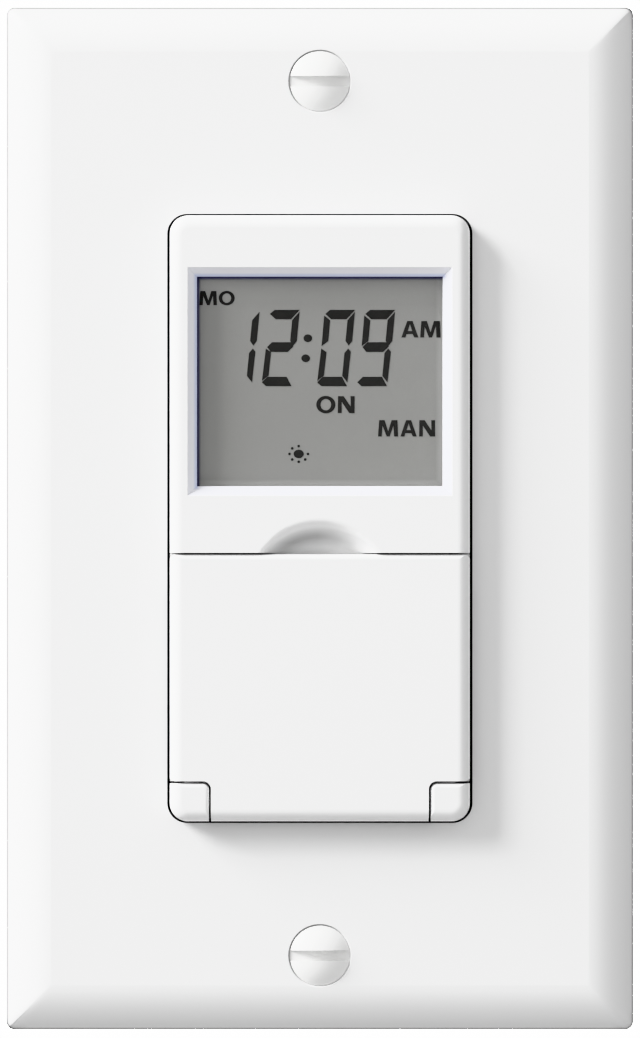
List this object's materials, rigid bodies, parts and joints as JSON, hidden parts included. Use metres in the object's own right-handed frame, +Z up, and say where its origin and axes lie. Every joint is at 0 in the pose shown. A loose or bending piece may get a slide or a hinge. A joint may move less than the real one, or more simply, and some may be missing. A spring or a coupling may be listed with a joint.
{
  "type": "wall timer switch",
  "caption": "Wall timer switch with a screwed wall plate, a segment display window and a push pad that flips open as a door over the setting keys.",
  "frame": {"origin": "on the wall plane at the middle of the plate, which is the middle of the two wall-box screw holes", "axes": "+Z up, +X to the right seen from the front, +Y into the wall, so the front faces -Y"},
  "size_m": [0.0696, 0.0382, 0.1134],
  "materials": {
    "plate_plastic": "satin moulded",
    "face_plastic": "fine satin moulded",
    "screw_paint": "white painted head",
    "strap_steel": "zinc plated",
    "ground_green": "green plated",
    "lens_clear": "clear polished",
    "gasket_foam": "closed-cell foam",
    "display_glass": "polarised glass",
    "display_film": "grey reflector",
    "holder_plastic": "moulded",
    "contact_rubber": "layered",
    "board_green": "solder mask",
    "component_black": "moulded",
    "bright_metal": "plated",
    "plunger_ivory": "moulded",
    "key_plastic": "satin moulded",
    "relay_blue": "moulded",
    "film_yellow": "moulded",
    "sleeve_navy": "shrink sleeve",
    "varistor_blue": "dipped",
    "fuse_ceramic": "ceramic",
    "barrier_sheet": "sheet",
    "case_plastic": "moulded",
    "terminal_brass": "plain"
  },
  "bodies": {
    "timer_body": {"wall_plate": "plate_plastic", "front_housing": "face_plastic", "plate_screws": "screw_paint", "mounting_strap": "strap_steel", "ground_screw": "ground_green", "display_lens": "lens_clear", "display_gasket": "gasket_foam", "front_glass": "display_glass", "rear_glass": "display_glass", "reflector_film": "display_film", "display_holder": "holder_plastic", "contact_strips": "contact_rubber", "logic_board": "board_green", "power_board": "board_green", "controller_chip": "component_black", "key_switches": "component_black", "on_off_switch": "component_black", "rectifier_diodes": "component_black", "header_pins": "component_black", "clock_crystal": "bright_metal", "battery_holder": "bright_metal", "backup_battery": "bright_metal", "case_screws": "bright_metal", "relay": "relay_blue", "film_capacitor": "film_yellow", "smoothing_capacitors": "sleeve_navy", "varistor": "varistor_blue", "fuse": "fuse_ceramic", "insulating_barrier": "barrier_sheet", "rear_case": "case_plastic", "terminal_plates": "terminal_brass", "terminal_clamps": "terminal_brass", "terminal_screws": "terminal_brass"},
    "push_frame": {"push_frame": "face_plastic"},
    "flip_door": {"flip_door": "face_plastic"},
    "on_off_plunger": {"on_off_plunger": "plunger_ivory"},
    "mode_key": {"mode_key": "key_plastic", "mode_plunger": "plunger_ivory"},
    "day_key": {"day_key": "key_plastic", "day_plunger": "plunger_ivory"},
    "plus_key": {"plus_key": "key_plastic", "plus_plunger": "plunger_ivory"},
    "minus_key": {"minus_key": "key_plastic", "minus_plunger": "plunger_ivory"},
    "reset_key": {"reset_key": "key_plastic", "reset_plunger": "plunger_ivory"}
  },
  "joints": [
    {"name": "on_off_press", "type": "hinge", "parent": "timer_body", "child": "push_frame", "pos_m": [0, -0.0051, -0.006], "axis": [1, 0, 0], "range_deg": [0, 1.2], "stiffness_Nm_per_rad": 3},
    {"name": "door_hinge", "type": "hinge", "parent": "push_frame", "child": "flip_door", "pos_m": [0, -0.007, -0.03053], "axis": [1, 0, 0], "range_deg": [0, 97]},
    {"name": "on_off_plunger_slide", "type": "slide", "parent": "timer_body", "child": "on_off_plunger", "axis": [0, 1, 0], "range_m": [0, 0.0004533]},
    {"name": "mode_key_press", "type": "slide", "parent": "timer_body", "child": "mode_key", "axis": [0, 1, 0], "range_m": [0, 0.0004], "stiffness_N_per_m": 3500},
    {"name": "day_key_press", "type": "slide", "parent": "timer_body", "child": "day_key", "axis": [0, 1, 0], "range_m": [0, 0.0004], "stiffness_N_per_m": 3500},
    {"name": "plus_key_press", "type": "slide", "parent": "timer_body", "child": "plus_key", "axis": [0, 1, 0], "range_m": [0, 0.0004], "stiffness_N_per_m": 3500},
    {"name": "minus_key_press", "type": "slide", "parent": "timer_body", "child": "minus_key", "axis": [0, 1, 0], "range_m": [0, 0.0004], "stiffness_N_per_m": 3500},
    {"name": "reset_key_press", "type": "slide", "parent": "timer_body", "child": "reset_key", "axis": [0, 1, 0], "range_m": [0, 0.0004], "stiffness_N_per_m": 3500}
  ],
  "couplings": [
    {"joint": "on_off_plunger_slide", "follows": "on_off_press", "m_per_rad": 0.021595}
  ]
}
